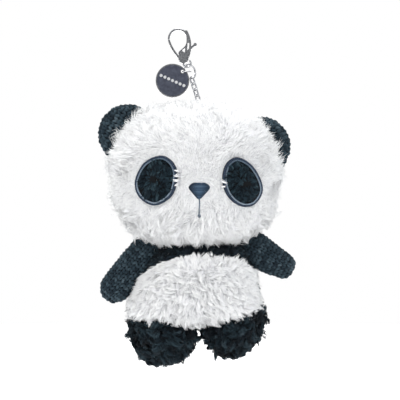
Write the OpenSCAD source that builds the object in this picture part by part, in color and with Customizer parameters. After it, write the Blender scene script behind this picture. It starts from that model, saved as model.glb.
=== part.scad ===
// Plush panda charm on a lobster clasp.
// Millimetres, +Z up. The front faces -Y and +X is to the right as seen from the front.
// The origin is the centre of the hook's round seat. Left and right are as seen from the front.

/* [Clasp] */
// Inner radius of the hook's round seat
seat_r = 4.3; // [4.2:0.05:4.4]
// Width of the hook's bar, seen from the front
hook_w = 1.1; // [1:0.05:1.2]
// Thickness of the clasp, front to back
clasp_t = 2.8; // [2.7:0.1:3]
// Thickness of the sprung lever
lever_t = 1.6; // [1.4:0.1:1.6]
// Radius of the lever's pivot pin
pin_r = 0.5; // [0.4:0.05:0.55]

/* [Ring and chain] */
// Lean of the ring and chain away from vertical
chain_lean = 17; // [15:1:18]
// Jump ring, radius to the middle of its wire
ring_r = 3.8; // [3.7:0.05:3.9]
// Jump ring, radius of its wire
ring_wire = 0.45; // [0.4:0.01:0.45]
// Turn of the jump ring away from the clasp's plane
ring_turn = 42; // [40:1:46]
// Small ring of the tag, radius to the middle of its wire
tag_ring_r = 2.2; // [2.15:0.05:2.3]
// Small ring of the tag, radius of its wire
tag_ring_wire = 0.33; // [0.3:0.01:0.33]
// Chain link, radius of its round end to the middle of the wire
link_r = 1.3; // [1.25:0.05:1.4]
// Chain link, radius of its wire
link_wire = 0.42; // [0.38:0.01:0.42]
// Chain link, length of its straight sides
link_straight = 1.6; // [1.5:0.1:1.7]

/* [Tag] */
// Radius of the round metal tag
tag_r = 8.7; // [8.5:0.1:8.9]
// Thickness of the tag
tag_t = 1; // [0.9:0.05:1]
// Width of the tag's bright rim
tag_rim = 0.6; // [0.5:0.1:0.8]
// Depth of the enamel in each face
enamel_t = 0.2; // [0.15:0.05:0.25]
// Number of round studs in the row across the tag
stud_count = 7; // [3:1:7]

/* [Head] */
// Width of the head under its pile
head_w = 84; // [82:1:85]
// Depth of the head under its pile
head_d = 64; // [62:1:66]
// Height of the head under its pile
head_h = 71; // [70:0.5:71]
// Radius of an ear
ear_r = 14.6; // [14:0.2:15]
// Thickness of an ear
ear_t = 9; // [8:0.5:10]

/* [Body and limbs] */
// Width of the body at its widest, under its pile
body_w = 63; // [62:0.5:63]
// Depth of the body, under its pile
body_d = 40; // [38:1:42]
// Height of the body's full oval, whose lower end is cut flat
body_h = 62.8; // [62:0.2:62.8]
// Thickness of the pile fabric's backing
skin_t = 1.5; // [1.2:0.1:1.8]

/* [Hidden] */
$fn = 48;
fine_fn = 144;
TINY = 0.01;

// Clasp
chamfer = 0.3;
pivot = [2.7, -10.3];
spine_centre = [-9.3, -3.8];
spine_r = 16.05;
opening_drop = 1.4;
web_low = [0.3, -6.9];
hub_r = 1.75;
cheek_r = 2.6;
slot_t = lever_t + 0.2;
slot_r = 3.2;
slot_reach = 12;
thumb_sweep = [6, 76];
gate_sweep = [92, 168];
lever_bore_r = pin_r + 0.05;
gate_tip_r = 12.35;
hook_tip_r = 12.5;
gate_arc_centre = [16.2, 5.7];
gate_arc_r = 22.1;
gate_w = 1.1;
knob = [8.8, -3.1];
knob_r = 0.85;
thumb_bend = [6.3, -5.2];
thumb_w = 1.3;
eye = [4.6, -12.9];
eye_r = 1.9;
eye_wire = 0.5;
spring_seat = [1.75, -6.85];
spring_turn = -30;
spring_r = 0.45;
spring_wire = 0.15;
spring_coils = 4;

// Ring and chain: places are measured along the chain from the bottom of the clasp's eye
down = [sin(chain_lean), 0, -cos(chain_lean)];
eye_bottom = [eye[0], 0, eye[1]] + eye_r * down;
ring_gap = 0.3;
ring_top = -(ring_wire + eye_wire + ring_gap);
ring_bottom = ring_top + 2 * ring_r;
link_hang = 0.3;
link_pitch = link_hang + link_straight + link_r;
link_count = 4;
chain_end = ring_bottom + link_count * link_pitch;
tape_w = 1.2;
tape_t = 0.5;
tape_bore_r = 0.85;
tape_leg = 5;

// Tag
tag_centre = [-2.95, -22];
tag_y = -3.75;
tag_hole = [2.25, -17.3];
tag_hole_r = 0.8;
tag_ring_centre = [4.3, -3.1, -17.3];
stud_r = 0.8;
stud_h = 0.25;
stud_pitch = 2.15;
stud_slope = -24;

// Head
head_c = [8.6, 0, -70.3];
head_half = [head_w, head_d, head_h] / 2;
patch_t = 1.2;
border_w = 1.6;
// Each eye: lower circle's centre, its radius, upper circle's centre, its radius
eyes = [[[-12, -76.4], 9.8, [-9.1, -70.4], 8.7], [[32.9, -77.4], 9.5, [30.7, -71.1], 8.5]];
nose_centre = [11.1, -78.2];
nose_w = 10.6;
nose_h = 7.4;
nose_round = 1.7;
mouth_x = 10.9;
mouth_z = [-91.3, -83.2];
mouth_w = 0.9;
ears = [[-26.3, -49.5], [43, -56]];
ear_half = [ear_r, ear_t / 2, ear_r];
ear_lift = 1.3;
ear_padding_from = 2.2;
ear_padding_t = 3;
ear_padding_wide = 1.65;
ear_seam_r = 1;
ear_seam_l = 14;

// Body and limbs
body_c = [8.6, 0, -138];
body_half = [body_w, body_d, body_h] / 2;
body_base = -144.2;
body_base_tilt = 4.5;
chest_line_z = -112;
belly_arch_r = 44;
side_seam_y = -2;
// Each arm: shoulder centre, its radius, hand centre, its radius
arms = [[[-14.4, -109.8], 8, [-32.4, -128.4], 7.8], [[38, -109.3], 8.4, [54.2, -117.6], 6.4]];
arm_clear = 0.5;
arm_tuck = 1.2;
arm_flat_w = 30;
arm_flat_l = 40;
// Each leg: centre, tilt, half width, half height
legs = [[[-8.3, -158.1], -4, 16, 10.6], [[28, -155.2], 13, 15.8, 10.6]];
leg_half_d = 13;
stuffing_gap = skin_t;

// ---- helpers ----

function unit(a) = [cos(a), sin(a)];
function at_front(p, y = 0) = [p[0], y, p[1]];

// A flat outline in the front view, given a thickness along Y
module plate(t, y = 0) {
    translate([0, y, 0]) rotate([90, 0, 0]) linear_extrude(t, center = true) children();
}

// Two circles and the band that touches both, exact arcs and straight sides
module round_bar(c1, r1, c2, r2) {
    span = c2 - c1;
    heading = atan2(span[1], span[0]);
    lean = acos((r1 - r2) / norm(span));
    translate(c1) circle(r1);
    translate(c2) circle(r2);
    polygon([
        c1 + r1 * unit(heading - lean),
        c2 + r2 * unit(heading - lean),
        c2 + r2 * unit(heading + lean),
        c1 + r1 * unit(heading + lean)]);
}

// A wedge of the front view that opens from a point between two angles
module wedge(from, angles, reach) {
    middle = (angles[0] + angles[1]) / 2;
    polygon([from, from + reach * unit(angles[0]), from + 1.3 * reach * unit(middle),
        from + reach * unit(angles[1])]);
}

// A ring of round wire, standing in the front view
module wire_ring(r, wire) {
    rotate([90, 0, 0]) rotate_extrude() translate([r, 0]) circle(wire);
}

// Half a ring of round wire, the upper half
module wire_bow(r, wire) {
    rotate([90, 0, 0]) rotate_extrude(angle = 180) translate([r, 0]) circle(wire);
}

// Children at a distance down the ring and chain, with their own +Z pointing back up it
module down_chain(s) {
    translate(eye_bottom + s * down) rotate([0, -chain_lean, 0]) children();
}

// A tapered limb with round ends, turned about its own line
module limb(a, grow = 0, turn = 0) {
    span = a[2] - a[0];
    translate(at_front(a[0]))
        rotate([0, -turn, 0])
        rotate([0, 90 - atan2(span[1], span[0]), 0])
        rotate_extrude()
        intersection() {
            round_bar([0, 0], a[1] + grow, [0, norm(span)], a[3] + grow);
            translate([0, -50]) square([50, 150]);
        }
}

// ---- clasp ----

// The bar's inner side is left proud: the seat is cut in one go, later
module hook_section() {
    w = hook_w / 2;
    t = clasp_t / 2;
    translate([seat_r + w, 0])
        polygon([[-2 * w, -t], [w - chamfer, -t], [w, chamfer - t], [w, t - chamfer], [w - chamfer, t],
            [-2 * w, t]]);
}

module hook() {
    hook_from = -10;
    hook_to = 192;
    difference() {
        rotate([90, 0, 0]) rotate([0, 0, hook_from])
            rotate_extrude(angle = hook_to - hook_from) hook_section();
        intersection() {
            plate(2 * clasp_t) translate(pivot) circle(hook_tip_r);
            translate([-10, -5, -10]) cube([8, 10, 15]);
        }
    }
}

// The round seat, and its longer lower half
module seat_opening() {
    circle(seat_r);
    translate([0, -opening_drop]) circle(seat_r);
    translate([-seat_r, -opening_drop]) square([2 * seat_r, opening_drop]);
}

// The open side of the frame, where the gate closes it
module gate_side() {
    corner = [0, -opening_drop] + seat_r * unit(-45);
    polygon([corner, web_low, web_low - [0.2, 1.7], [-8, web_low[1] - 1.7], [-8, 0], [0, 0]]);
}

module clasp_windows() {
    polygon([[1.9, -6.5], [3.5, -5.1], [3.5, -7.3]]);
    round_bar([5.3, -2.6], 0.45, [5, -8], 0.4);
}

module clasp_frame() {
    difference() {
        union() {
            intersection() {
                translate(spine_centre) circle(spine_r);
                polygon([[3.5, 4.2], [8, 4.2], [8, -12.2], [3.4, -12.2], [0.4, -9.8], [0, -3]]);
            }
            translate(pivot) circle(cheek_r);
        }
        gate_side();
        clasp_windows();
    }
}

// The space between the two cheeks in which the lever swings
module lever_slot() {
    translate(pivot) circle(slot_r);
    wedge(pivot, thumb_sweep, slot_reach);
    wedge(pivot, gate_sweep, slot_reach);
}

module clasp_body() {
    color("gainsboro")
        difference() {
            union() {
                hook();
                plate(clasp_t) clasp_frame();
                translate(at_front(eye)) wire_ring(eye_r, eye_wire);
            }
            plate(2 * clasp_t) seat_opening();
            intersection() {
                plate(slot_t) lever_slot();
                translate([-12, -5, -12.2]) cube([24, 10, 12.5]);
            }
            translate(at_front(pivot)) rotate([90, 0, 0]) cylinder(r = pin_r, h = 2 * clasp_t, center = true);
        }
}

module gate_arm() {
    intersection() {
        difference() {
            translate(gate_arc_centre) circle(gate_arc_r + gate_w / 2);
            translate(gate_arc_centre) circle(gate_arc_r - gate_w / 2);
        }
        translate(pivot) circle(gate_tip_r);
        polygon([pivot - [0.6, 1.2], [-8, -9], [-8, 3], [0, 0]]);
    }
}

module clasp_lever() {
    color("silver")
        difference() {
            plate(lever_t) {
                gate_arm();
                translate(pivot) circle(hub_r);
                round_bar(pivot, 1.1, thumb_bend, thumb_w / 2);
                round_bar(thumb_bend, thumb_w / 2, knob, 0.5);
                translate(knob) circle(knob_r);
            }
            translate(at_front(pivot)) rotate([90, 0, 0])
                cylinder(r = lever_bore_r, h = 2 * lever_t, center = true);
        }
}

module clasp_pin() {
    color("darkgray")
        translate(at_front(pivot)) rotate([90, 0, 0]) cylinder(r = pin_r, h = clasp_t, center = true);
}

// A closed coil, drawn as rings that just run into each other
module clasp_spring() {
    color("dimgray")
        translate(at_front(spring_seat))
        rotate([0, spring_turn, 0])
        for (k = [0:spring_coils - 1])
            translate([-1.9 * spring_wire * k, 0, 0])
                rotate([0, 90, 0]) rotate_extrude() translate([spring_r, 0]) circle(spring_wire);
}

// ---- ring, chain and tag ----

module jump_ring() {
    color("silver")
        down_chain(ring_top + ring_r) rotate([0, 0, ring_turn]) wire_ring(ring_r, ring_wire);
}

// Link k hangs through the one above it, a quarter turn round from it
module chain_link(k) {
    color("silver")
        down_chain(ring_bottom + (k - 1) * link_pitch + link_hang)
        rotate([0, 0, ring_turn + 90 * (k % 2)]) {
            wire_bow(link_r, link_wire);
            translate([0, 0, -link_straight]) rotate([180, 0, 0]) wire_bow(link_r, link_wire);
            for (side = [-1, 1])
                translate([side * link_r, 0, -link_straight]) cylinder(r = link_wire, h = link_straight);
        }
}

module tag_ring() {
    color("silver")
        translate(tag_ring_centre) rotate_extrude() translate([tag_ring_r, 0]) circle(tag_ring_wire);
}

module tag_outline(r) {
    difference() {
        translate(tag_centre) circle(r);
        translate(tag_hole) circle(tag_hole_r);
    }
}

module tag_disc() {
    color("silver")
        difference() {
            plate(tag_t, tag_y) tag_outline(tag_r);
            for (face = [-1, 1])
                plate(2 * enamel_t, tag_y + face * tag_t / 2) enamel_outline();
        }
}

// The metal keeps a bright collar round the hole
module enamel_outline() {
    difference() {
        translate(tag_centre) circle(tag_r - tag_rim);
        translate(tag_hole) circle(tag_hole_r + 0.35);
    }
}

module tag_enamel() {
    color("midnightblue")
        for (face = [-1, 1])
            plate(enamel_t, tag_y + face * (tag_t - enamel_t) / 2) enamel_outline();
}

module tag_studs() {
    color("white")
        for (k = [0:stud_count - 1])
            plate(stud_h, tag_y - tag_t / 2 - stud_h / 2)
                translate(tag_centre + (k - (stud_count - 1) / 2) * stud_pitch * unit(stud_slope))
                circle(stud_r);
}

// A narrow tape, folded round the last link and sewn into the crown
module loop_tape() {
    outer = tape_bore_r + tape_t;
    color("whitesmoke")
        down_chain(chain_end + 0.1)
        rotate([0, 0, ring_turn])
        rotate([0, 90, 0])
        linear_extrude(tape_w, center = true)
        difference() {
            union() {
                circle(outer);
                translate([0, -tape_t]) square([outer + tape_leg, 2 * tape_t]);
            }
            circle(tape_bore_r);
        }
}

// ---- head ----

module head_form(grow = 0) {
    translate(head_c) scale(head_half + grow * [1, 1, 1]) sphere(1, $fn = fine_fn);
}

// A thin layer over the front of the head, where the outline falls on it
module on_face(t, base = 0) {
    intersection() {
        difference() {
            head_form(base + t);
            head_form(base);
        }
        translate([0, -head_half[1], 0]) plate(1.2 * head_half[1]) children();
    }
}

module eye_outline(e, inset = 0) {
    round_bar(e[0], e[1] - inset, e[2], e[3] - inset);
}

module eye_patch(e) {
    color("darkslategray") on_face(patch_t) eye_outline(e, border_w);
}

module eye_border(e) {
    color("slategray")
        on_face(patch_t)
        difference() {
            eye_outline(e);
            eye_outline(e, border_w);
        }
}

module nose() {
    half = nose_w / 2 - nose_round;
    top = nose_centre + [0, nose_h / 2 - nose_round];
    low = nose_centre - [0, nose_h / 2 - nose_round];
    color("steelblue")
        on_face(patch_t) {
            round_bar(top - [half, 0], nose_round, top + [half, 0], nose_round);
            round_bar(top - [half, 0], nose_round, low, nose_round - TINY);
            round_bar(top + [half, 0], nose_round, low, nose_round - TINY);
        }
}

module mouth_stitch() {
    dot_r = 0.8;
    color("slategray")
        on_face(patch_t / 2)
        round_bar([mouth_x, mouth_z[0]], dot_r, [mouth_x, mouth_z[1]], mouth_w / 2);
}

module head_skin() {
    color("white")
        difference() {
            head_form();
            head_form(-skin_t);
        }
}

module head_stuffing() {
    color("ivory") head_form(-stuffing_gap);
}

// A round pad that stands on the head's side: p is its centre in the front view
module ear_form(p, grow = 0) {
    difference() {
        translate(at_front(p)) scale(ear_half + grow * [1, 1, 1]) sphere(1, $fn = fine_fn);
        head_form(ear_lift + ear_seam_r / 2 - grow);
    }
}

// Where the line from the head's middle to the ear leaves the head
function ear_way(p) = let (v = [p[0] - head_c[0], p[1] - head_c[2]]) v / norm(v);
function ear_root(p) =
    let (w = ear_way(p))
    let (reach = 1 / norm([w[0] / head_half[0], w[1] / head_half[2]]))
    [head_c[0], head_c[2]] + (reach + ear_lift) * w;

// Children at the ear's root, with their own +Z pointing straight out of the head there
module at_ear_root(p) {
    root = ear_root(p);
    slope = [(root[0] - head_c[0]) / pow(head_half[0], 2), (root[1] - head_c[2]) / pow(head_half[2], 2)];
    translate(at_front(root)) rotate([0, atan2(slope[0], slope[1]), 0]) children();
}

// The rolled seam along which the ear is sewn on and folds
module ear_seam(p) {
    at_ear_root(p) rotate([0, 90, 0]) cylinder(r = ear_seam_r, h = ear_seam_l, center = true);
}

module ear_skin(p) {
    color("darkslategray") {
        difference() {
            ear_form(p);
            ear_form(p, -skin_t);
        }
        ear_seam(p);
    }
}

// A lens of filling, as large as fits between the seam and the ear's rim
module ear_padding(p) {
    w = ear_way(p);
    from = norm(ear_root(p) - [head_c[0], head_c[2]]) + ear_padding_from;
    to = norm(p - [head_c[0], head_c[2]]) + ear_r - skin_t - 0.1;
    half = (to - from) / 2;
    color("ivory")
        translate(head_c + at_front((from + to) / 2 * w))
        rotate([0, -atan2(w[1], w[0]), 0])
        scale([half, ear_padding_t / 2, ear_padding_wide * half])
        sphere(1);
}

// ---- body ----

module body_form(grow = 0) {
    intersection() {
        translate(body_c) scale(body_half + grow * [1, 1, 1]) sphere(1, $fn = fine_fn);
        translate([body_c[0], 0, body_base - grow])
            rotate([0, -body_base_tilt, 0])
            translate([-100, -100, 0])
            cube(200);
    }
}

// Room in the body's sides for the arms to turn: a cup for each shoulder and a flat under each arm
module shoulder_room() {
    for (a = arms) {
        span = a[2] - a[0];
        room = a[1] + arm_clear;
        translate(at_front(a[0])) sphere(room);
        translate(at_front(a[0]))
            rotate([0, 90 - atan2(span[1], span[0]), 0])
            scale([span[0] < 0 ? -1 : 1, 1, 1])
            translate([-arm_flat_w, -arm_flat_w, 0])
            cube([arm_flat_w + room + arm_tuck, 2 * arm_flat_w, arm_flat_l]);
    }
}

module body_shell() {
    difference() {
        body_form();
        body_form(-skin_t);
        shoulder_room();
    }
}

// The white front: below an arch, from side seam to side seam
module belly_region() {
    intersection() {
        translate([body_c[0], chest_line_z - belly_arch_r]) circle(belly_arch_r);
        translate([body_c[0] - body_w, -160]) square([2 * body_w, 80]);
    }
}

module front_half(depth) {
    translate([0, side_seam_y - depth / 2, 0]) plate(depth) children();
}

module belly_panel() {
    color("white")
        intersection() {
            body_shell();
            front_half(body_d) belly_region();
        }
}

module chest_band() {
    color("darkslategray")
        intersection() {
            body_shell();
            front_half(body_d)
                difference() {
                    translate([body_c[0] - body_w, -160]) square([2 * body_w, 80]);
                    belly_region();
                }
        }
}

module back_panel() {
    color("darkslategray")
        intersection() {
            body_shell();
            translate([body_c[0] - body_w, side_seam_y, -160]) cube([2 * body_w, body_d, 80]);
        }
}

module body_stuffing() {
    color("ivory")
        difference() {
            body_form(-stuffing_gap);
            shoulder_room();
        }
}

module arm_skin(a) {
    color("darkslategray")
        difference() {
            limb(a);
            limb(a, -skin_t);
        }
}

module arm_stuffing(a) {
    color("ivory") limb(a, -stuffing_gap);
}

module leg_form(g, grow = 0) {
    translate(at_front(g[0]))
        rotate([0, -g[1], 0])
        scale([g[2] + grow, leg_half_d + grow, g[3] + grow])
        sphere(1);
}

module leg_skin(g) {
    color("darkslategray")
        difference() {
            leg_form(g);
            leg_form(g, -skin_t);
        }
}

module leg_stuffing(g) {
    color("ivory") leg_form(g, -stuffing_gap);
}

// ---- the nodes ----

clasp_body();
clasp_lever();
clasp_pin();
clasp_spring();
jump_ring();
tag_ring();
tag_disc();
tag_enamel();
tag_studs();
for (k = [1:link_count])
    chain_link(k);
loop_tape();
head_skin();
head_stuffing();
nose();
mouth_stitch();
belly_panel();
chest_band();
back_panel();
body_stuffing();
for (k = [0, 1]) {
    side = ["left", "right"][k];
    eye_patch(eyes[k]);
    eye_border(eyes[k]);
    ear_skin(ears[k]);
    ear_padding(ears[k]);
    arm_skin(arms[k]);
    arm_stuffing(arms[k]);
    leg_skin(legs[k]);
    leg_stuffing(legs[k]);
}
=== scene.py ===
"""The finished looks of the plush panda charm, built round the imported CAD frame.

Sizes in this file are millimetres until a mesh is made; the row frame is in metres. The front faces -Y.
"""
import math
from typing import NamedTuple

import bpy
import numpy as np
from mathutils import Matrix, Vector
from mathutils.bvhtree import BVHTree
from mathutils.kdtree import KDTree


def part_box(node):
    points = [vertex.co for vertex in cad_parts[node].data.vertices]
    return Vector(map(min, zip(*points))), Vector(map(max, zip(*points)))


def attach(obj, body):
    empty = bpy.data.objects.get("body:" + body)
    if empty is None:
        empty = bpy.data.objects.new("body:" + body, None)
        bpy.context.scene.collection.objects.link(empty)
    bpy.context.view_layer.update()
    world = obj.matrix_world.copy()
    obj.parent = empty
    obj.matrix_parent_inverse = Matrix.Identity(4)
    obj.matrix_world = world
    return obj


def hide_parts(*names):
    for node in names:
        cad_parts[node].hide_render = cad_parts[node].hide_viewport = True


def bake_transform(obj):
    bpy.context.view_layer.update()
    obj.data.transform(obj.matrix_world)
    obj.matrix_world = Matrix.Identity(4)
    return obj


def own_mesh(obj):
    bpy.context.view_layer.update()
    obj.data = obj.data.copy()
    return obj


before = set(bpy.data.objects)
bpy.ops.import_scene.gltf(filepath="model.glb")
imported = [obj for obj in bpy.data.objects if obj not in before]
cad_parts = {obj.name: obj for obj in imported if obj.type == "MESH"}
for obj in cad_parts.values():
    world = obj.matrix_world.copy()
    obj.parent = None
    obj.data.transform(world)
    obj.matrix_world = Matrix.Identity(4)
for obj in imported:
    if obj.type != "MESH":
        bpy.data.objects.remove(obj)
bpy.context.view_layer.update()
MM = 0.001

# ---- camera and light ----

VIEW_CENTRE = (11.3, -83.9)
VIEW_WIDTH = 208.0
VIEW_DISTANCE = 1200.0
SENSOR = 36.0
FLOOR_Z = -186.0
FLOOR_R = 700.0
# The room's brightness from straight down, 0, to straight up, 1
ROOM = ((0.0, 0.36), (0.38, 0.34), (0.5, 0.22), (0.62, 0.5), (0.8, 1.0))


def set_camera():
    data = bpy.data.cameras.new("camera")
    data.sensor_width = SENSOR
    data.lens = SENSOR * VIEW_DISTANCE / VIEW_WIDTH
    data.clip_start = 0.01
    data.clip_end = 10
    camera = bpy.data.objects.new("camera", data)
    camera.location = Vector((VIEW_CENTRE[0], -VIEW_DISTANCE, VIEW_CENTRE[1])) * MM
    camera.rotation_euler = (math.radians(90), 0, 0)
    bpy.context.scene.collection.objects.link(camera)
    bpy.context.scene.camera = camera


def area_light(name, place, size, watts, colour=(1, 1, 1)):
    data = bpy.data.lights.new(name, "AREA")
    data.size = size * MM
    data.energy = watts
    data.color = colour
    light = bpy.data.objects.new(name, data)
    light.location = Vector(place) * MM
    aim = Vector((VIEW_CENTRE[0], 0, VIEW_CENTRE[1])) * MM - light.location
    light.rotation_euler = aim.to_track_quat("-Z", "Y").to_euler()
    bpy.context.scene.collection.objects.link(light)


def set_world():
    """White behind the object, and a room for light and mirrors that is bright above and dim below."""
    world = bpy.data.worlds.new("studio")
    world.use_nodes = True
    nodes = world.node_tree.nodes
    links = world.node_tree.links
    nodes.clear()
    seen = nodes.new("ShaderNodeBackground")
    seen.inputs["Color"].default_value = (1, 1, 1, 1)
    room = nodes.new("ShaderNodeBackground")
    way = nodes.new("ShaderNodeTexCoord")
    height = nodes.new("ShaderNodeSeparateXYZ")
    level = nodes.new("ShaderNodeValToRGB")
    rise = nodes.new("ShaderNodeMapRange")
    rise.inputs["From Min"].default_value = -1
    band = level.color_ramp
    while len(band.elements) < len(ROOM):
        band.elements.new(0.5)
    for element, (place, brightness) in zip(band.elements, ROOM):
        element.position = place
        element.color = (0.94 * brightness, 0.97 * brightness, brightness, 1)
    rays = nodes.new("ShaderNodeLightPath")
    mix = nodes.new("ShaderNodeMixShader")
    out = nodes.new("ShaderNodeOutputWorld")
    links.new(way.outputs["Generated"], height.inputs[0])
    links.new(height.outputs["Z"], rise.inputs["Value"])
    links.new(rise.outputs[0], level.inputs["Fac"])
    links.new(level.outputs["Color"], room.inputs["Color"])
    links.new(rays.outputs["Is Camera Ray"], mix.inputs["Fac"])
    links.new(room.outputs[0], mix.inputs[1])
    links.new(seen.outputs[0], mix.inputs[2])
    links.new(mix.outputs[0], out.inputs["Surface"])
    bpy.context.scene.world = world


set_camera()
set_world()
area_light("key", (-380, -760, 720), 520, 6.0, (1, 0.99, 0.97))
area_light("fill", (560, -640, 60), 460, 1.3, (0.96, 0.98, 1))
area_light("top", (40, 120, 620), 420, 2.6)
area_light("back", (-120, 700, 160), 520, 3.4)
bpy.context.scene.view_settings.view_transform = "Standard"


# ---- materials ----

# Fibres scatter light far more than they mirror it
FIBRE_SHINE = 0.12


class Shade:
    """A Principled material under construction, with short names for the nodes that it needs."""

    def __init__(self, name, **sockets):
        self.material = bpy.data.materials.new(name)
        self.material.use_nodes = True
        self.tree = self.material.node_tree
        self.shader = self.tree.nodes["Principled BSDF"]
        for key, value in sockets.items():
            self.shader.inputs[key.replace("_", " ")].default_value = value

    def node(self, kind, links=None, **settings):
        made = self.tree.nodes.new("ShaderNode" + kind)
        for key, value in settings.items():
            setattr(made, key, value)
        for socket, source in (links or {}).items():
            if hasattr(source, "is_output"):
                self.tree.links.new(source, made.inputs[socket])
            else:
                made.inputs[socket].default_value = source
        return made

    def place(self):
        """A point on the object, in metres."""
        return self.node("TexCoord").outputs["Object"]

    def strand(self):
        """(random value of the strand, way along it) as two sockets."""
        parts = self.node("SeparateXYZ", {0: self.node("UVMap", uv_map="OFBake").outputs[0]})
        return parts.outputs[0], parts.outputs[1]

    def noise(self, scale, detail=3.0, where=None):
        where = self.place() if where is None else where
        links = {"Vector": where, "Scale": scale, "Detail": detail, "Roughness": 0.6}
        return self.node("TexNoise", links).outputs["Fac"]

    def ramp(self, factor, *stops):
        """stops are (place, colour)."""
        made = self.node("ValToRGB", {"Fac": factor})
        band = made.color_ramp
        while len(band.elements) < len(stops):
            band.elements.new(0.5)
        for element, (place, colour) in zip(band.elements, stops):
            element.position = place
            element.color = (*colour, 1)
        return made.outputs["Color"]

    def span(self, factor, low, high):
        """factor from 0 to 1, stretched from low to high."""
        return self.node("MapRange", {"Value": factor, "To Min": low, "To Max": high}).outputs[0]

    def mix(self, factor, a, b):
        return self.node("Mix", {0: factor, 6: a, 7: b}, data_type="RGBA").outputs[2]

    def bump(self, height, strength, distance):
        made = self.node("Bump", {"Height": height, "Strength": strength, "Distance": distance * MM})
        self.tree.links.new(made.outputs[0], self.shader.inputs["Normal"])

    def set(self, socket, source):
        self.tree.links.new(source, self.shader.inputs[socket])


def metal(name, dark, light, rough, scratch):
    s = Shade(name, Metallic=1.0)
    wear = s.noise(900, 4)
    s.set("Base Color", s.ramp(wear, (0.35, dark), (0.62, light)))
    s.set("Roughness", s.span(s.noise(2600, 5), rough[0], rough[1]))
    streak = s.node("Mapping", {"Vector": s.place(), "Scale": (1, 1, 7)}).outputs[0]
    s.bump(s.noise(2600, 2, where=streak), scratch, 0.02)
    return s.material


def enamel():
    s = Shade("dark_enamel", Coat_Weight=0.8, Coat_Roughness=0.08)
    clouds = s.noise(500, 4)
    s.set("Base Color", s.ramp(clouds, (0.35, (0.027, 0.031, 0.050)), (0.65, (0.054, 0.060, 0.086))))
    s.set("Roughness", s.span(s.noise(1500), 0.25, 0.42))
    s.bump(s.noise(700, 2), 0.15, 0.05)
    return s.material


def woven(name, dark, light):
    """A flat backing cloth or tape."""
    s = Shade(name, Roughness=0.9, Sheen_Weight=0.1, Sheen_Roughness=0.5, Specular_IOR_Level=FIBRE_SHINE)
    s.set("Base Color", s.ramp(s.noise(260, 4), (0.3, dark), (0.7, light)))
    threads = s.node("TexWave", {"Vector": s.place(), "Scale": 1300, "Distortion": 1.5}).outputs["Fac"]
    s.bump(threads, 0.5, 0.15)
    return s.material


def pile(name, tints, root, root_shade_reach, sheen):
    """Strand cloth: a tint for each strand, and painted shade that darkens it towards the root."""
    s = Shade(name, Roughness=0.85, Sheen_Weight=sheen, Sheen_Roughness=0.45,
              Specular_IOR_Level=FIBRE_SHINE)
    chance, along = s.strand()
    colour = s.ramp(chance, *tints)
    # Painted shade: each strand fades to the root colour near its root, where the strands shade each other
    shade = s.ramp(along, (0.0, (1, 1, 1)), (root_shade_reach, (0, 0, 0)))
    colour = s.mix(s.node("RGBToBW", {0: shade}).outputs[0], colour, (*root, 1))
    s.set("Base Color", colour)
    return s.material


def yarn(name, tints, root, sheen=0.5, rough=0.8):
    """Spun yarn: the tint of each stitch, painted shade where it dives into the cloth, and fine fibres."""
    s = Shade(name, Roughness=rough, Sheen_Weight=sheen, Sheen_Roughness=0.4, Sheen_Tint=(0.75, 0.87, 1, 1),
              Specular_IOR_Level=FIBRE_SHINE)
    chance, along = s.strand()
    # Painted shade: both ends of each stitch fade to the root colour, where the yarn dives between stitches
    ends = s.ramp(along, (0.08, (1, 1, 1)), (0.42, (0, 0, 0)), (0.6, (0, 0, 0)), (0.95, (1, 1, 1)))
    s.set("Base Color", s.mix(s.node("RGBToBW", {0: ends}).outputs[0], s.ramp(chance, *tints), (*root, 1)))
    s.bump(s.noise(4200, 4), 0.6, 0.12)
    return s.material


NICKEL = metal("nickel", (0.36, 0.36, 0.38), (0.62, 0.62, 0.63), (0.12, 0.26), 0.12)
STUD = metal("polished_stud", (0.85, 0.85, 0.86), (0.96, 0.96, 0.96), (0.3, 0.45), 0.08)
STEEL = metal("spring_steel", (0.30, 0.30, 0.32), (0.45, 0.45, 0.47), (0.3, 0.45), 0.2)
ENAMEL = enamel()
TAPE = woven("tape", (0.72, 0.72, 0.72), (0.86, 0.86, 0.85))
WHITE_BACKING = woven("white_backing", (0.78, 0.78, 0.78), (0.88, 0.88, 0.87))
DARK_BACKING = woven("dark_backing", (0.006, 0.010, 0.016), (0.02, 0.03, 0.042))
EYE_BACKING = woven("eye_backing", (0.0005, 0.001, 0.0018), (0.002, 0.003, 0.0045))
# The colour after each pile's tints is the painted shade at the strands' roots
WHITE_PILE = pile(
    "white_pile",
    ((0.0, (0.84, 0.84, 0.86)), (0.35, (0.93, 0.93, 0.93)), (0.6, (0.96, 0.96, 0.955)),
     (1.0, (0.985, 0.98, 0.97))),
    (0.50, 0.50, 0.53), 0.55, 0.15)
DARK_PILE = pile(
    "dark_pile",
    ((0.0, (0.0012, 0.0026, 0.0042)), (0.4, (0.005, 0.010, 0.015)), (0.7, (0.018, 0.033, 0.043)),
     (1.0, (0.055, 0.086, 0.105))),
    (0.0012, 0.0022, 0.0035), 0.6, 0.05)
CHENILLE = pile(
    "eye_chenille",
    ((0.0, (0.0015, 0.0035, 0.006)), (0.45, (0.008, 0.017, 0.025)), (0.8, (0.028, 0.054, 0.070)),
     (1.0, (0.06, 0.095, 0.11))),
    (0.0007, 0.0014, 0.0025), 0.55, 0.04)
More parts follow.
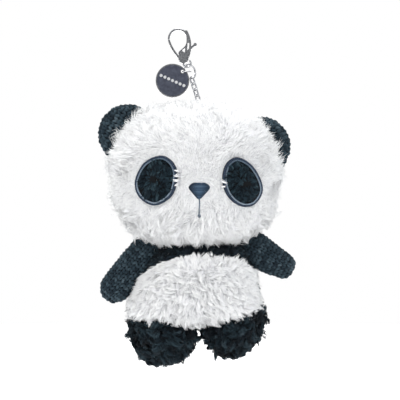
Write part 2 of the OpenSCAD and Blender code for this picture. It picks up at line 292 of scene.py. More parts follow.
# The colour after each yarn's tints is the painted shade where its stitches dive
KNIT_YARN = yarn(
    "knit_yarn",
    ((0.0, (0.006, 0.012, 0.018)), (0.4, (0.017, 0.030, 0.040)), (0.8, (0.042, 0.066, 0.082)),
     (1.0, (0.09, 0.12, 0.14))),
    (0.0008, 0.0018, 0.0035), 0.08)
NOSE_THREAD = yarn(
    "nose_thread", ((0.0, (0.018, 0.038, 0.07)), (0.6, (0.034, 0.065, 0.11)), (1.0, (0.065, 0.11, 0.17))),
    (0.010, 0.018, 0.034), 0.15, 0.5)
OUTLINE_DARK = yarn(
    "outline_thread_dark", ((0.0, (0.022, 0.034, 0.058)), (1.0, (0.045, 0.062, 0.098))),
    (0.010, 0.015, 0.028), 0.12, 0.55)
OUTLINE_LIGHT = yarn(
    "outline_thread_light", ((0.0, (0.17, 0.22, 0.28)), (1.0, (0.33, 0.39, 0.46))),
    (0.10, 0.14, 0.19), 0.2, 0.55)
MOUTH_THREAD = yarn(
    "mouth_thread", ((0.0, (0.12, 0.15, 0.19)), (1.0, (0.22, 0.26, 0.31))), (0.08, 0.10, 0.13), 0.2, 0.6)


# ---- meshes ----

def link_mesh(name, points, faces, materials, uv=None, normals=None, face_slots=None):
    """points in millimetres; faces is an (n, 3) or (n, 4) array; uv has one pair per point."""
    mesh = bpy.data.meshes.new(name)
    count, corners = faces.shape
    mesh.vertices.add(len(points))
    mesh.vertices.foreach_set("co", (points * MM).astype(np.float32).ravel())
    mesh.loops.add(count * corners)
    mesh.loops.foreach_set("vertex_index", faces.astype(np.int32).ravel())
    mesh.polygons.add(count)
    mesh.polygons.foreach_set("loop_start", np.arange(0, count * corners, corners, dtype=np.int32))
    mesh.polygons.foreach_set("use_smooth", np.ones(count, dtype=bool))
    for material in materials:
        mesh.materials.append(material)
    if face_slots is not None:
        mesh.polygons.foreach_set("material_index", face_slots.astype(np.int32))
    if uv is not None:
        layer = mesh.uv_layers.new(name="OFBake")
        layer.data.foreach_set("uv", uv[faces.ravel()].astype(np.float32).ravel())
    mesh.update(calc_edges=True)
    mesh.validate()
    if normals is not None:
        mesh.normals_split_custom_set_from_vertices(normals.astype(np.float32))
    made = bpy.data.objects.new(name, mesh)
    bpy.context.scene.collection.objects.link(made)
    return made


def unit(v):
    return v / np.maximum(np.linalg.norm(v, axis=-1, keepdims=True), 1e-9)


def run_along(line):
    """How far along a line of points each one is."""
    return np.concatenate([[0], np.cumsum(np.linalg.norm(np.diff(line, axis=0), axis=1))])


def in_front_view(place):
    """A front-view place or way (x, z) as a point in the middle plane."""
    return np.array([place[0], 0, place[1]], float)


def away_from(place, p):
    """The front-view way from a place (x, z) to each point."""
    return np.stack([p[:, 0] - place[0], 0 * p[:, 0], p[:, 2] - place[1]], axis=1)


def declare(piece, slot, *replaced, body=None, fill=None):
    """Attaches a piece to its body and hides the CAD nodes that it stands for. slot and fill are not used.
    """
    if body is not None:
        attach(piece, body)
    if replaced:
        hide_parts(*replaced)


def bend(pieces):
    """Bakes each piece's place and turn into its mesh."""
    for piece in pieces:
        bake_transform(piece)


def tubes(name, paths, radii, up, material, chance, sides=3, pointed=True, soft=0.0):
    """Many thin tubes in one mesh. paths is (n, k, 3), radii (n, k), up (n, 3); a pointed tube ends in a
    point. chance is each tube's random value for the material. soft turns the shading towards up."""
    n, k, _ = paths.shape
    way = unit(np.gradient(paths, axis=1))
    across = unit(np.cross(way, up[:, None, :]))
    over = np.cross(across, way)
    rings = k - 1 if pointed else k
    turn = 2 * np.pi * (np.arange(sides) + 0.25) / sides
    spokes = across[:, :rings, None, :] * np.cos(turn)[:, None]
    spokes = spokes + over[:, :rings, None, :] * np.sin(turn)[:, None]
    ring = paths[:, :rings, None, :] + spokes * radii[:, :rings, None, None]
    points = ring.reshape(n, rings * sides, 3)
    normals = spokes.reshape(n, rings * sides, 3)
    along = np.repeat(np.arange(rings) / (k - 1), sides)
    if pointed:
        points = np.concatenate([points, paths[:, -1:, :]], axis=1)
        normals = np.concatenate([normals, way[:, -1:, :]], axis=1)
        along = np.append(along, 1.0)
    per = points.shape[1]
    faces = []
    for row in range(rings - 1):
        for side in range(sides):
            a = row * sides + side
            b = row * sides + (side + 1) % sides
            faces += [(a, a + sides, b + sides), (a, b + sides, b)]
    if pointed:
        last = (rings - 1) * sides
        faces += [(last + side, per - 1, last + (side + 1) % sides) for side in range(sides)]
    faces = (np.array(faces)[None] + per * np.arange(n)[:, None, None]).reshape(-1, 3)
    uv = np.stack([np.repeat(chance, per), np.tile(0.02 + 0.96 * along, n)], axis=1)
    uv[:, 0] = 0.02 + 0.96 * uv[:, 0]
    normals = unit(normals * (1 - soft) + up[:, None, :] * soft).reshape(-1, 3)
    return link_mesh(name, points.reshape(-1, 3), faces, [material], uv, normals)


# ---- soft forms as grids ----

# The cloth solver works on a copy ten times life size, and these are its steps
PLUMP_SCALE = 10.0
PLUMP_FRAMES = 20
PLUMP_PRESSURE = 200.0


class Skin:
    """A closed form as a grid of points: rows from pole to pole, columns round. u counts rows, v columns."""

    def __init__(self, grid):
        self.grid = grid
        self.rows, self.columns = grid.shape[:2]
        self.out = 1.0
        middle = grid.reshape(-1, 3).mean(axis=0)
        p, n = self.spot(np.array([self.rows / 2]), np.array([0.0]))[:2]
        if np.dot(n[0], p[0] - middle) < 0:
            self.out = -1.0
        self.shares = self.cell_areas()

    def at(self, u, v):
        u = np.clip(u, 0, self.rows - 1.001)
        i = np.floor(u).astype(int)
        j = np.floor(v).astype(int)
        a = (u - i)[..., None]
        b = (v - j)[..., None]
        j0 = j % self.columns
        j1 = (j + 1) % self.columns
        g = self.grid
        low = g[i, j0] * (1 - b) + g[i, j1] * b
        high = g[i + 1, j0] * (1 - b) + g[i + 1, j1] * b
        return low * (1 - a) + high * a

    def spot(self, u, v):
        """Point, outward normal, step per row and step per column."""
        e = 0.5
        du = self.at(u + e, v) - self.at(u - e, v)
        dv = self.at(u, v + e) - self.at(u, v - e)
        return self.at(u, v), unit(np.cross(du, dv)) * self.out, du, dv

    def cells(self):
        """The middles of the grid's cells."""
        i, j = np.meshgrid(np.arange(self.rows - 1) + 0.5, np.arange(self.columns) + 0.5, indexing="ij")
        return i.ravel(), j.ravel()

    def cell_areas(self):
        _, _, du, dv = self.spot(*self.cells())
        return np.linalg.norm(np.cross(du, dv), axis=1)

    def faces(self):
        i, j = np.meshgrid(np.arange(self.rows - 1), np.arange(self.columns), indexing="ij")
        a = i * self.columns + j
        b = i * self.columns + (j + 1) % self.columns
        quads = np.stack([a, b, b + self.columns, a + self.columns], axis=-1).reshape(-1, 4)
        return quads[:, ::-1] if self.out > 0 else quads

    def piece(self, name, materials, face_slots=None):
        return link_mesh(name, self.grid.reshape(-1, 3), self.faces(), materials, face_slots=face_slots)

    def tree(self):
        return BVHTree.FromPolygons(self.grid.reshape(-1, 3).tolist(), self.faces().tolist())

    def scatter(self, count, rng):
        """Random (u, v), even over the area that the form had before it was plumped."""
        i, j = self.cells()
        pick = rng.choice(i.size, count, p=self.shares / self.shares.sum())
        return i[pick] + rng.uniform(-0.5, 0.5, count), j[pick] + rng.uniform(-0.5, 0.5, count)

    def plump(self, seam_rows=(), seam_columns=(), most=1.2):
        """Blows the form up as cloth between its sewn seams; no point moves more than most millimetres."""
        flat = self.grid.reshape(-1, 3)
        soft = link_mesh("plumping", flat * PLUMP_SCALE, self.faces(), [])
        held = [r % self.rows * self.columns + c for r in (0, -1, *seam_rows) for c in range(self.columns)]
        held += [r * self.columns + c % self.columns for c in seam_columns for r in range(self.rows)]
        soft.vertex_groups.new(name="seams").add(sorted(set(held)), 1.0, "REPLACE")
        cloth = soft.modifiers.new("cloth", "CLOTH").settings
        cloth.vertex_group_mass = "seams"
        cloth.use_pressure = True
        cloth.uniform_pressure_force = PLUMP_PRESSURE
        cloth.effector_weights.gravity = 0
        scene = bpy.context.scene
        for step in range(1, PLUMP_FRAMES + 1):
            scene.frame_set(step)
        settled = soft.evaluated_get(bpy.context.evaluated_depsgraph_get()).data
        places = np.empty(flat.size)
        settled.vertices.foreach_get("co", places)
        move = places.reshape(-1, 3) / (PLUMP_SCALE * MM) - flat
        size = np.linalg.norm(move, axis=1, keepdims=True)
        move = move * np.minimum(1, most / np.maximum(size, 1e-9))
        self.grid = (flat + move).reshape(self.grid.shape)
        bpy.data.objects.remove(soft)
        scene.frame_set(1)
        return self


def ball_grid(centre, half, power=2.0, rows=48, columns=72, poles="z"):
    """A superellipsoid. half may give six sizes: -x, +x, -y, +y, -z, +z."""
    theta = np.linspace(0.001, math.pi - 0.001, rows)[:, None]
    phi = (2 * math.pi * np.arange(columns) / columns)[None, :]
    ring = (np.sin(theta) * np.cos(phi), np.sin(theta) * np.sin(phi), np.cos(theta) + 0 * phi)
    order = {"z": (0, 1, 2), "y": (0, 2, 1)}[poles]
    way = np.stack([ring[k] for k in order], axis=-1)
    size = (np.abs(way) ** power).sum(axis=-1, keepdims=True) ** (1 / power)
    half = np.array(half, float)
    if half.size == 6:
        half = np.where(way < 0, half[0::2], half[1::2])
    return np.array(centre) + way / size * half


def level_grid(levels, power=2.3, rows=56, columns=96):
    """A form from its levels, top first: height, left edge, right edge and half depth of each."""
    levels = np.array(levels, float)
    run = run_along(levels[:, [0, 2]])
    even = np.linspace(0, run[-1], rows)
    ease = np.hanning(7) / np.hanning(7).sum()
    smooth = [np.convolve(np.pad(np.interp(even, run, values), 3, mode="edge"), ease, "valid")
              for values in levels.T]
    z, left, right, depth = smooth
    phi = 2 * math.pi * np.arange(columns) / columns
    c = np.cos(phi)
    s = np.sin(phi)
    size = (np.abs(c) ** power + np.abs(s) ** power) ** (1 / power)
    x = ((left + right) / 2)[:, None] + ((right - left) / 2)[:, None] * c / size
    y = depth[:, None] * s / size
    return np.stack([x, y, z[:, None] + 0 * x], axis=-1)


def limb_grid(root, root_r, tip, tip_r, depth=1.0, rows=64, columns=48, fatten=0.0):
    """A tapered round-ended limb in the front plane, from its root to its tip."""
    root = in_front_view(root)
    tip = in_front_view(tip)
    span = np.linalg.norm(tip - root)
    axis = (tip - root) / span
    side = np.array([axis[2], 0, -axis[0]])
    front = np.array([0, -1.0, 0])
    slant = math.asin((root_r - tip_r) / span)
    arcs = []
    for k in np.linspace(-math.pi / 2 + 0.01, slant, 24):
        arcs.append((root_r * math.sin(k), root_r * math.cos(k)))
    for k in np.linspace(slant, math.pi / 2 - 0.01, 24):
        arcs.append((span + tip_r * math.sin(k), tip_r * math.cos(k)))
    arcs = np.array(arcs)
    run = run_along(arcs)
    even = np.linspace(0, run[-1], rows)
    along = np.interp(even, run, arcs[:, 0])
    r = np.interp(even, run, arcs[:, 1])
    r = r * (1 + fatten * np.exp(-((along / span - 0.6) / 0.35) ** 2))
    phi = 2 * math.pi * np.arange(columns) / columns
    wheel = np.cos(phi)[:, None] * side + np.sin(phi)[:, None] * front * depth
    return root + along[:, None, None] * axis + r[:, None, None] * wheel[None]


# ---- outlines in the front view ----

class Outline:
    """A smooth closed line through a few front-view places (x, z), given clockwise or anticlockwise."""

    COUNT = 160
    FAR = 12.0

    def __init__(self, *knots):
        knots = np.array(knots, float)
        before = np.roll(knots, 1, axis=0)
        after = np.roll(knots, -1, axis=0)
        later = np.roll(knots, -2, axis=0)
        t = np.linspace(0, 1, 24, endpoint=False)[:, None, None]
        curve = knots + 0.5 * t * (after - before)
        curve = curve + t ** 2 * (before - 2.5 * knots + 2 * after - 0.5 * later)
        curve = curve + t ** 3 * (1.5 * knots - 1.5 * after + 0.5 * later - 0.5 * before)
        self.fine = curve.transpose(1, 0, 2).reshape(-1, 2)
        self.middle = self.fine.mean(axis=0)
        self.line = self.inset(0.0, self.COUNT)
        self.outward = self.normals(self.line)

    def normals(self, line):
        way = unit(np.roll(line, -1, axis=0) - np.roll(line, 1, axis=0))
        side = np.stack([way[:, 1], -way[:, 0]], axis=1)
        facing = np.sign((side * (line - self.middle)).sum(axis=1, keepdims=True).mean())
        return side * facing

    def inset(self, depth, count):
        """Evenly spaced points, depth inside the line."""
        line = self.fine - self.normals(self.fine) * depth
        line = np.concatenate([line, line[:1]])
        run = run_along(line)
        even = np.linspace(0, run[-1], count, endpoint=False)
        return np.stack([np.interp(even, run, line[:, 0]), np.interp(even, run, line[:, 1])], axis=1)

    def loop(self, depth, count):
        """The same as x and z, back to the first point."""
        line = self.inset(depth, count)
        return np.concatenate([line, line[:1]]).T

    def gap(self, x, z):
        """How far places are outside the line, below zero inside; anything further off counts as FAR."""
        flat = np.stack([np.ravel(x), np.ravel(z)], axis=1)
        gap = np.full(len(flat), self.FAR)
        low = self.line.min(axis=0) - self.FAR
        high = self.line.max(axis=0) + self.FAR
        near = np.all((flat > low) & (flat < high), axis=1)
        for part in np.array_split(np.flatnonzero(near), 1 + near.sum() // 20000):
            apart = flat[part][:, None, :] - self.line[None]
            reach = np.linalg.norm(apart, axis=2)
            pick = reach.argmin(axis=1)
            side = (apart[np.arange(len(part)), pick] * self.outward[pick]).sum(axis=1)
            gap[part] = np.minimum(np.where(side > 0, 1, -1) * reach.min(axis=1), self.FAR)
        return gap.reshape(np.shape(x))

    def gap_at(self, p):
        """The gap of points in space, seen from the front."""
        return self.gap(p[:, 0], p[:, 2])


# ---- pile ----

# A coat with more faces than this is split into several pieces
MOST_FACES = 190000


def drift(points, rng, wave):
    """A smooth random vector for each point; wave is its typical length."""
    parts = 7
    total = np.zeros_like(points)
    for _ in range(parts):
        k = unit(rng.normal(size=3)) * 2 * math.pi / (wave * rng.uniform(0.7, 1.5))
        total += np.sin(points @ k + rng.uniform(0, 6.28))[:, None] * unit(rng.normal(size=3))
    return total / math.sqrt(parts / 2)


def lay(v, normal):
    """v without its part along the normal, as a unit vector."""
    return unit(v - (v * normal).sum(axis=1, keepdims=True) * normal)


def even(length):
    """The same length of pile everywhere."""
    return lambda p: np.full(len(p), length)


class Pile(NamedTuple):
    """How one kind of pile grows, for strands of so many steps."""

    material: bpy.types.Material
    slot: str
    width: float
    steps: int
    # A strand's angle to the cloth in degrees at its root and at its tip, and how much that varies
    lift: tuple
    spread: float = 10
    # One strand in so many draws those near it into a lock, as much as clump, a number or function, says
    leaders: int = 12
    clump: object = 0.7
    curl: float = 0.0
    turns: float = 1.2
    # How far the shading turns to the cloth's
    soft: float = 0.6
    # How deep the roots go in, and how much thinner the tips are
    sink: float = 0.4
    taper: float = 0.75
    # How much the locks' lengths vary, and how much of its tint a strand shares with its lock
    uneven: float = 0.15
    lock_tint: float = 0.6

    def paths(self, roots, normals, flow, length, rng):
        n = len(roots)
        first = np.radians(self.lift[0] + rng.normal(0, self.spread, n))
        last = np.radians(self.lift[1] + rng.normal(0, self.spread, n))
        side = np.cross(normals, flow)
        path = [roots]
        for step in range(self.steps):
            t = (step + 0.5) / self.steps
            angle = (first * (1 - t) + last * t)[:, None]
            way = normals * np.sin(angle) + flow * np.cos(angle)
            path.append(path[-1] + way * (length / self.steps)[:, None])
        path = np.stack(path, axis=1)
        along = np.linspace(0, 1, self.steps + 1)
        if self.curl:
            phase = rng.uniform(0, 6.28, n)[:, None] + 2 * math.pi * self.turns * along
            swing = self.curl * along ** 0.7
            path += side[:, None, :] * (np.sin(phase) * swing)[..., None]
            path += normals[:, None, :] * (np.cos(phase) * swing * 0.6)[..., None]
        chief = rng.choice(n, max(1, n // self.leaders), replace=False)
        tree = KDTree(len(chief))
        for k, index in enumerate(chief):
            tree.insert(roots[index], k)
        tree.balance()
        nearest = chief[np.array([tree.find(p)[1] for p in roots])]
        clump = np.broadcast_to(self.clump(roots) if callable(self.clump) else self.clump, n)
        pull = clump[:, None] * along ** 1.3
        path = path + (path[nearest] - path) * pull[..., None]
        stretch = np.clip(1 + self.uneven * rng.normal(size=n), 0.5, 1.6)[nearest]
        path = path[:, :1] + (path - path[:, :1]) * stretch[:, None, None]
        return path, nearest

    def grow(self, name, skin, count, flow_of, length_of, rng, keep=None):
        """Strands over a skin. flow_of(points) is the way they lie, length_of(points) their length,
        and keep(points) says where they grow."""
        u, v = skin.scatter(count, rng)
        roots, normals, _, _ = skin.spot(u, v)
        if keep is not None:
            grows = keep(roots)
            roots = roots[grows]
            normals = normals[grows]
        flow = lay(flow_of(roots), normals)
        n = len(roots)
        length = length_of(roots) * rng.uniform(0.75, 1.2, n)
        paths, lock = self.paths(roots - normals * self.sink, normals, flow, length, rng)
        narrow = 1 - self.taper * np.linspace(0, 1, self.steps + 1) ** 1.6
        radii = self.width / 2 * rng.uniform(0.75, 1.3, n)[:, None] * narrow
        own = rng.random(n)
        shared = rng.random(n)[lock]
        chance = own + (shared - own) * self.lock_tint
        piece = tubes(name, paths, radii, normals, self.material, chance, soft=self.soft)
        return piece

    def cover(self, name, skin, density, flow_of, length_of, body, seed, keep=None, share=1.0):
        """The same, density strands to the square millimetre, in as many pieces as keep each one light.
        share is how much of the skin keep() leaves."""
        count = int(density * skin.shares.sum())
        faces = 6 * (self.steps - 1) + 3
        parts = math.ceil(count * faces * share / MOST_FACES)
        for part in range(parts):
            label = f"{name}_{part + 1}" if parts > 1 else name
            rng = np.random.default_rng(seed + part)
            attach(self.grow(label, skin, count // parts, flow_of, length_of, rng, keep), body)


# ---- knitting ----

# One leg of a stitch, from its foot to its shoulder: across, up and out, in stitch widths and heights
STITCH = np.array([[0.04, -0.66, -0.16], [0.12, -0.34, 0.16], [0.26, 0.06, 0.26], [0.40, 0.44, 0.16],
                   [0.46, 0.70, -0.14]])
STITCH_R = np.array([0.15, 0.25, 0.28, 0.25, 0.15])


def knit_on(name, at, cells, rng):
    """Knitted stitches. cells are the rows (a, b, width, height) of the stitches on the flattened cloth, and
    at(a, b, index) gives points and normals on the real one."""
    a, b, w, h = cells.T
    legs = []
    for side in (-1, 1):
        x = a[:, None] + side * STITCH[None, :, 0] * w[:, None]
        z = b[:, None] + STITCH[None, :, 1] * h[:, None]
        p, n = at(x, z, np.arange(len(a)))
        out = STITCH[None, :, 2] * w[:, None] + rng.normal(0, 0.06, (len(a), 1)) * w[:, None]
        legs.append((p + n * out[..., None], n.mean(axis=1)))
    paths = np.concatenate([legs[0][0], legs[1][0]])
    up = unit(np.concatenate([legs[0][1], legs[1][1]]))
    paths = paths + rng.normal(0, 0.03, paths.shape) * w.mean()
    radii = np.concatenate([w, w])[:, None] * STITCH_R * rng.uniform(0.8, 1.12, (2 * len(a), 1))
    chance = np.clip(np.tile(rng.random(len(a)), 2) * 0.6 + rng.random(2 * len(a)) * 0.4, 0, 1)
    piece = tubes(name, paths, radii, up, KNIT_YARN, chance, sides=6, pointed=False)
    return piece


def knit_rings(name, skin, width, height, rng):
    """Knitted columns that run from pole to pole of a skin, with fewer of them where it narrows."""
    around = np.concatenate([skin.grid, skin.grid[:, :1]], axis=1)
    girth = np.linalg.norm(np.diff(around, axis=1), axis=2).sum(axis=1)
    run = run_along(skin.grid[:, 0])
    most = int(girth.max() / width)
    cells = []
    places = []
    for s in np.arange(height * 0.6, run[-1] - height * 0.4, height):
        u = np.interp(s, run, np.arange(skin.rows))
        round_here = np.interp(u, np.arange(skin.rows), girth)
        n = most
        while round_here / n < 0.72 * width and n > 5:
            n = int(n * 0.75)
        for k in range(n):
            cells.append((0, 0, round_here / n, height))
            places.append((u, skin.columns * (k + 0.25) / n, skin.columns / round_here))
    cells = np.array(cells)
    places = np.array(places)
    rows_per_mm = 1 / np.maximum(np.gradient(run), 1e-6)

    def at(x, z, index):
        u0 = places[index, 0][:, None]
        v0 = places[index, 1][:, None]
        u = u0 + z * np.interp(u0, np.arange(skin.rows), rows_per_mm)
        v = v0 + x * places[index, 2][:, None]
        p, n, _, _ = skin.spot(u.ravel(), v.ravel())
        return p.reshape(*x.shape, 3), n.reshape(*x.shape, 3)

    return knit_on(name, at, cells, rng)


# ---- the charm's metal and tape ----

# How wide the rubbed edges of the metal are, and the least corner that counts as an edge
WORN_EDGE = 0.22
WORN_ANGLE = math.radians(35)


def dress(material, *nodes):
    for name in nodes:
        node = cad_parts[name]
        if not node.material_slots:
            node.data.materials.append(material)
        for place in node.material_slots:
            place.material = material


def centre_and_half(node):
    low, high = (np.array(corner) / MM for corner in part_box(node))
    return (low + high) / 2, (high - low) / 2


dress(NICKEL, "clasp_body", "clasp_lever", "clasp_pin", "jump_ring", "tag_ring", "tag_disc",
      "chain_link_1", "chain_link_2", "chain_link_3", "chain_link_4")
for name in ("clasp_body", "clasp_lever", "tag_disc", "tag_studs"):
    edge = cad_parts[name].modifiers.new("worn edges", "BEVEL")
    edge.width = WORN_EDGE * MM
    edge.segments = 3
    edge.limit_method = "ANGLE"
    edge.angle_limit = WORN_ANGLE
dress(STUD, "tag_studs")
dress(ENAMEL, "tag_enamel")
dress(TAPE, "loop_tape")

# The spring that pushes the lever shut, from its seat on the clasp to the lever
SPRING_SEAT = np.array([1.75, 0.0, -6.85])
SPRING_WAY = unit(np.array([-0.866, 0.0, -0.5]))
SPRING_LENGTH = 1.9
SPRING_TURNS = 5.5
SPRING_R = 0.45
SPRING_WIRE_R = 0.12


def helical_spring():
    turn = np.linspace(0, 2 * np.pi * SPRING_TURNS, 140)[:, None]
    side = np.array([0.0, 1.0, 0.0])
    over = np.cross(SPRING_WAY, side)
    path = SPRING_SEAT + SPRING_WAY * SPRING_LENGTH * turn / turn[-1]
    path = path + SPRING_R * (side * np.cos(turn) + over * np.sin(turn))
    radii = np.full((1, len(path)), SPRING_WIRE_R)
    return tubes("clasp_spring_coil", path[None], radii, SPRING_WAY[None], STEEL, np.array([0.5]),
                 sides=8)


spring = helical_spring()
declare(spring, "spring_steel", "clasp_spring", body="clasp")
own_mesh(spring)


# ---- head ----

EYES = {
    "left": Outline((-8.3, -61.5), (-1.9, -65.4), (-0.1, -72.6), (-3.0, -81.8), (-11.3, -86.5),
                    (-19.0, -82.6), (-21.5, -74.6), (-16.9, -65.2)),
    "right": Outline((29.6, -62.4), (36.4, -65.4), (41.3, -72.4), (42.7, -79.6), (38.6, -85.9),
                     (32.0, -86.9), (25.5, -82.2), (22.6, -74.2), (24.2, -66.0)),
}
PUPILS = {"left": (-12.4, -73.4), "right": (34.6, -76.0)}
EYE_BORDER = 1.7
# Tufts of white that lap over the eyes' inner edges: place, way in degrees and length
TUFTS = {
    "left": ((1.3, -69.2, 172, 2.6), (1.4, -71.6, 185, 3.0), (1.2, -74.0, 176, 3.2), (1.0, -75.8, 190, 2.4)),
    "right": ((21.2, -74.2, -14, 3.4), (21.4, -77.0, 6, 2.2)),
}
NOSE = Outline((5.7, -77.4), (8.3, -75.2), (10.8, -75.8), (13.6, -75.2), (16.2, -77.4), (13.8, -80.8),
               (10.8, -83.3), (8.0, -80.8))
MOUTH_X = 10.9
MOUTH_Z = (-91.3, -82.6)
FACE_CENTRE = (11.0, -72.0)
EAR_MIDDLES = ((-24.0, -50.5), (41.0, -56.5))

HEAD_CENTRE, HEAD_HALF = centre_and_half("head_skin")


def head_grid():
    """The CAD's ellipsoid with fuller cheeks."""
    grid = ball_grid(HEAD_CENTRE, HEAD_HALF, 2.18, 72, 108)
    level = (grid[..., 2] - HEAD_CENTRE[2]) / HEAD_HALF[2]
    grid[..., 0] = HEAD_CENTRE[0] + (grid[..., 0] - HEAD_CENTRE[0]) * (1.018 - 0.035 * (level + 0.3))
    return grid


head = Skin(head_grid()).plump(seam_columns=(0, 54), most=1.0)
HEAD_TREE = head.tree()


def on_form(tree, x, z, proud=0.0, back=False):
    """Points on the front, or back, of a form at front-view places, raised by proud, and their normals."""
    points = []
    normals = []
    heights = np.broadcast_to(proud, np.shape(x))
    side = 1 if back else -1
    for px, pz, out in zip(np.ravel(x), np.ravel(z), np.ravel(heights)):
        hit, normal, _, _ = tree.ray_cast(Vector((px, side * 100, pz)), Vector((0, -side, 0)))
        points.append(np.array(hit) + np.array(normal) * out)
        normals.append(np.array(normal))
    return np.array(points).reshape(*np.shape(x), 3), np.array(normals).reshape(*np.shape(x), 3)


def on_head(x, z, proud=0.0):
    return on_form(HEAD_TREE, x, z, proud)


def head_keep(p):
    """Pile grows everywhere but under the eyes, the nose and the mouth."""
    front = p[:, 1] < 0
    hidden = front & (NOSE.gap_at(p) < 0.4)
    beside = np.abs(p[:, 0] - MOUTH_X)
    hidden |= front & (beside < 0.9) & (p[:, 2] > MOUTH_Z[0] - 0.8) & (p[:, 2] < MOUTH_Z[1] + 1)
    for eye in EYES.values():
        hidden |= front & (eye.gap_at(p) < 0.1)
    return ~hidden


def head_flow(p):
    """Away from the middle of the face, down at the back, in whorls, and aside from eyes and nose."""
    flow = unit(away_from(FACE_CENTRE, p))
    back = np.clip((p[:, 1] + 5) / 20, 0, 1)[:, None]
    flow = flow * (1 - back) + np.array([0, 0.2, -1.0]) * back
    whorls = np.random.default_rng(5)
    low = np.clip((-84 - p[:, 2]) / 14, 0, 1)[:, None]
    flow = flow + 0.6 * drift(p, whorls, 15) + 0.45 * drift(p, whorls, 6)
    flow = flow + low * np.array([0, -0.3, -0.9])
    front = p[:, 1] < 0
    for part, push in ((EYES["left"], 1.6), (EYES["right"], 1.6), (NOSE, 1.5)):
        near = (np.clip(1 - part.gap_at(p) / 4, 0, 1) * front)[:, None]
        flow = flow * (1 - near) + push * unit(away_from(part.middle, p)) * near
    return flow


def chin(p):
    """From 0 over most of the head to 1 at the chin and jaw."""
    return np.clip((-86 - p[:, 2]) / 12, 0, 1)


def shaggy(p):
    """From 0 on the smooth forehead to 1 on the cheeks and jaw."""
    return np.clip((-66 - p[:, 2]) / 24, 0, 1)


def by_ear(p):
    """From 0 away from the ears to 1 at them."""
    gaps = [np.hypot(p[:, 0] - x, p[:, 2] - z) for x, z in EAR_MIDDLES]
    return np.clip((20 - np.minimum(*gaps)) / 6, 0, 1)


def head_length(p, most):
    """Longest at the chin and ears, short beside the eyes, nose and mouth."""
    length = most + 1.2 * shaggy(p) + 2.2 * chin(p) + 2.2 * by_ear(p)
    face = p[:, 1] < 0
    for part, least, reach in ((EYES["left"], 0.45, 7), (EYES["right"], 0.45, 7), (NOSE, 0.4, 6)):
        share = least + (1 - least) * np.clip(part.gap_at(p) / reach, 0, 1)
        length = length * np.where(face, share, 1)
    beside_mouth = 0.3 + 0.7 * np.clip((np.abs(p[:, 0] - MOUTH_X) - 0.8) / 5, 0, 1)
    by_mouth = face & (p[:, 2] < MOUTH_Z[1]) & (p[:, 2] > MOUTH_Z[0] - 3)
    return length * np.where(by_mouth, beside_mouth, 1)


UNDERCOAT = Pile(WHITE_PILE, "white_pile", width=0.28, steps=2, lift=(54, 24), spread=14, leaders=8,
                 clump=lambda p: 0.25 + 0.35 * shaggy(p), soft=0.6, uneven=0.05, lock_tint=0.3)
TOPCOAT = Pile(WHITE_PILE, "white_pile", width=0.3, steps=4, lift=(60, 30), spread=13, leaders=17,
               clump=lambda p: 0.3 + 0.62 * shaggy(p), curl=0.6, turns=0.7, soft=0.3, uneven=0.22)
UNDERCOAT.cover("head_undercoat", head, 4.6, head_flow, lambda p: head_length(p, 3.0), "head", 100,
                head_keep)
TOPCOAT.cover("head_topcoat", head, 3.0, head_flow, lambda p: head_length(p, 4.2), "head", 150, head_keep)

head_base = head.piece("head_base", [WHITE_BACKING])
declare(head_base, "white_pile", "head_skin", "head_stuffing", body="head", fill=0.8)


# ---- face ----

def dome_skin(outline, inset, crown, rings=16, count=72):
    """A padded patch on the head inside an outline; crown gives its height for each ring from 0 to 1."""
    under = -1.0
    reach = np.linspace(0.02, 1, rings)
    rim = outline.inset(inset, count)
    flat = outline.middle + (rim - outline.middle)[None] * reach[:, None, None]
    x = flat[..., 0]
    z = flat[..., 1]
    dome, _ = on_head(x, z, crown(reach)[:, None] + 0 * x)
    edge_below = on_head(x[-1:], z[-1:], under)[0]
    middle_below = on_head(x[:1], z[:1], under)[0]
    return Skin(np.concatenate([dome, edge_below, middle_below]))


CHENILLE_PILE = Pile(CHENILLE, "chenille", width=0.44, steps=4, lift=(56, 0), leaders=13, clump=0.8,
                     curl=0.7, turns=0.9, soft=0.1)


def eye_piece(side, eye, rng):
    """A domed patch of chenille that swirls round the pupil."""
    patch = dome_skin(eye, EYE_BORDER - 0.3, lambda reach: 0.4 + 0.8 * (1 - reach ** 3))
    base = patch.piece(f"eye_{side}_base", [EYE_BACKING])
    declare(base, "chenille", f"eye_patch_{side}", body="head")
    pupil = PUPILS[side]

    def flow(p):
        swirl = np.random.default_rng(9)
        return unit(away_from(pupil, p)) + 0.9 * drift(p, swirl, 7) + 0.5 * drift(p, swirl, 3.5)

    def length(p):
        away = np.hypot(p[:, 0] - pupil[0], p[:, 2] - pupil[1])
        room = -EYE_BORDER - eye.gap_at(p)
        return (1.2 + 2.1 * np.clip((away - 0.8) / 3.0, 0, 1)) * np.clip(0.35 + room / 3.5, 0, 1)

    def keep(p):
        away = np.hypot(p[:, 0] - pupil[0], p[:, 2] - pupil[1])
        inside = (eye.gap_at(p) < -EYE_BORDER - 0.1) & (p[:, 1] < 0)
        return inside & (away > 0.7 + 0.8 * rng.random(len(p)))

    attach(CHENILLE_PILE.grow(f"eye_{side}_chenille", patch, 5400, flow, length, rng, keep), "head")


